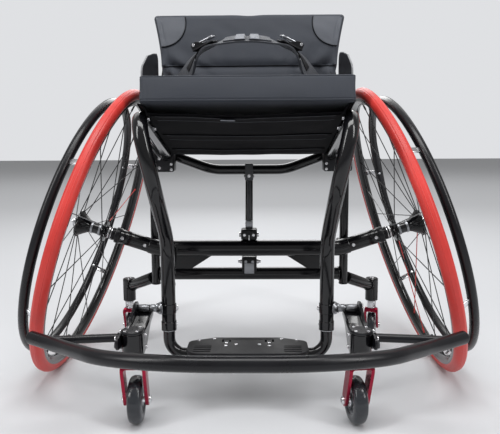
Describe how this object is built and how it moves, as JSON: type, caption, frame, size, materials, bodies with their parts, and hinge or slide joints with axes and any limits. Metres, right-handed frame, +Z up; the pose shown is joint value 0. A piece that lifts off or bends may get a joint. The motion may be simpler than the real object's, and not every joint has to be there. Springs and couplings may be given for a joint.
{
  "type": "sports wheelchair",
  "caption": "Rigid-frame court wheelchair with strongly cambered wheels, wing bumper, swivelling front and anti-tip casters, cushion, low back and lap strap.",
  "frame": {"origin": "on the floor under the middle of the chair's bounding box", "axes": "+Z up, -Y is the way the chair faces, +X towards the sitter's left"},
  "size_m": [0.8946, 0.8026, 0.744],
  "materials": {
    "tyre_red": "matt",
    "gloss_black": "gloss",
    "satin_black": "satin",
    "bright_steel": "polished",
    "grey_alloy": "satin",
    "red_alloy": "anodised gloss",
    "smoke_wheel": "gloss",
    "black_plastic": "matt",
    "grey_fabric": "matt",
    "black_web": "matt"
  },
  "bodies": {
    "frame": {"side_frame_left": "gloss_black", "lower_rail_left": "gloss_black", "seat_post_left": "gloss_black", "post_clamp_left": "satin_black", "seat_clamp_left": "satin_black", "anti_tip_arm_left": "satin_black", "axle_pin_left": "bright_steel", "axle_receiver_left": "bright_steel", "foot_collar_left": "grey_alloy", "cross_clamp_left": "grey_alloy", "caster_mount_left": "black_plastic", "side_guard_left": "black_plastic", "buckle_left": "black_plastic", "side_frame_right": "gloss_black", "lower_rail_right": "gloss_black", "seat_post_right": "gloss_black", "post_clamp_right": "satin_black", "seat_clamp_right": "satin_black", "anti_tip_arm_right": "satin_black", "axle_pin_right": "bright_steel", "axle_receiver_right": "bright_steel", "foot_collar_right": "grey_alloy", "cross_clamp_right": "grey_alloy", "caster_mount_right": "black_plastic", "side_guard_right": "black_plastic", "buckle_right": "black_plastic", "camber_bar": "gloss_black", "lower_crossbar": "gloss_black", "rear_crossbar": "gloss_black", "footrest": "gloss_black", "crossbar_bracket": "satin_black", "strut_clamp": "satin_black", "bumper": "satin_black", "strut": "grey_alloy", "footplate": "black_plastic", "cushion": "grey_fabric", "back_upholstery": "grey_fabric", "seat_sling": "black_web", "pelvic_strap": "black_web"},
    "main_wheel_left": {"tyre_left": "tyre_red", "rim_left": "gloss_black", "hub_left": "gloss_black", "handrim_left": "satin_black"},
    "release_button_left": {"axle_button_left": "bright_steel"},
    "front_swivel_left": {"front_fork_left": "red_alloy"},
    "front_roller_left": {"front_wheel_left": "smoke_wheel"},
    "rear_swivel_left": {"rear_fork_left": "red_alloy"},
    "rear_roller_left": {"rear_wheel_left": "smoke_wheel"},
    "lever_left": {"buckle_lever_left": "bright_steel"},
    "main_wheel_right": {"tyre_right": "tyre_red", "rim_right": "gloss_black", "hub_right": "gloss_black", "handrim_right": "satin_black"},
    "release_button_right": {"axle_button_right": "bright_steel"},
    "front_swivel_right": {"front_fork_right": "red_alloy"},
    "front_roller_right": {"front_wheel_right": "smoke_wheel"},
    "rear_swivel_right": {"rear_fork_right": "red_alloy"},
    "rear_roller_right": {"rear_wheel_right": "smoke_wheel"},
    "lever_right": {"buckle_lever_right": "bright_steel"}
  },
  "joints": [
    {"name": "wheel_spin_left", "type": "hinge", "parent": "frame", "child": "main_wheel_left", "pos_m": [0.318, 0.09684, 0.29081], "axis": [0.9516, 0, 0.3074], "continuous": true},
    {"name": "button_press_left", "type": "slide", "parent": "frame", "child": "release_button_left", "axis": [-0.9516, 0, -0.3074], "range_m": [0, 0.003], "stiffness_N_per_m": 600},
    {"name": "front_caster_swivel_left", "type": "hinge", "parent": "frame", "child": "front_swivel_left", "pos_m": [0.186, -0.20616, 0.13], "axis": [0, 0, 1], "continuous": true},
    {"name": "front_caster_spin_left", "type": "hinge", "parent": "front_swivel_left", "child": "front_roller_left", "pos_m": [0.18294, -0.18438, 0.04], "axis": [0.9903, 0.1392, 0], "continuous": true},
    {"name": "rear_caster_swivel_left", "type": "hinge", "parent": "frame", "child": "rear_swivel_left", "pos_m": [0.285, 0.21484, 0.12], "axis": [0, 0, 1], "continuous": true},
    {"name": "rear_caster_spin_left", "type": "hinge", "parent": "rear_swivel_left", "child": "rear_roller_left", "pos_m": [0.29018, 0.23415, 0.04], "axis": [0.9659, -0.2588, 0], "continuous": true},
    {"name": "wheel_spin_right", "type": "hinge", "parent": "frame", "child": "main_wheel_right", "pos_m": [-0.318, 0.09684, 0.29081], "axis": [-0.9516, 0, 0.3074], "continuous": true},
    {"name": "button_press_right", "type": "slide", "parent": "frame", "child": "release_button_right", "axis": [0.9516, 0, -0.3074], "range_m": [0, 0.003], "stiffness_N_per_m": 600},
    {"name": "front_caster_swivel_right", "type": "hinge", "parent": "frame", "child": "front_swivel_right", "pos_m": [-0.186, -0.20616, 0.13], "axis": [0, 0, 1], "continuous": true},
    {"name": "front_caster_spin_right", "type": "hinge", "parent": "front_swivel_right", "child": "front_roller_right", "pos_m": [-0.18715, -0.18419, 0.04], "axis": [0.9986, 0.0523, 0], "continuous": true},
    {"name": "rear_caster_swivel_right", "type": "hinge", "parent": "frame", "child": "rear_swivel_right", "pos_m": [-0.285, 0.21484, 0.12], "axis": [0, 0, 1], "continuous": true},
    {"name": "rear_caster_spin_right", "type": "hinge", "parent": "rear_swivel_right", "child": "rear_roller_right", "pos_m": [-0.2864, 0.23479, 0.04], "axis": [0.9976, 0.0698, 0], "continuous": true},
    {"name": "lever_turn_left", "type": "hinge", "parent": "frame", "child": "lever_left", "pos_m": [0.09833, 0.03651, 0.65959], "axis": [-0.2922, 0.9476, 0.1291], "range_deg": [0, 75]},
    {"name": "lever_turn_right", "type": "hinge", "parent": "frame", "child": "lever_right", "pos_m": [-0.09833, 0.03651, 0.65959], "axis": [-0.2922, -0.9476, -0.1291], "range_deg": [0, 75]}
  ]
}
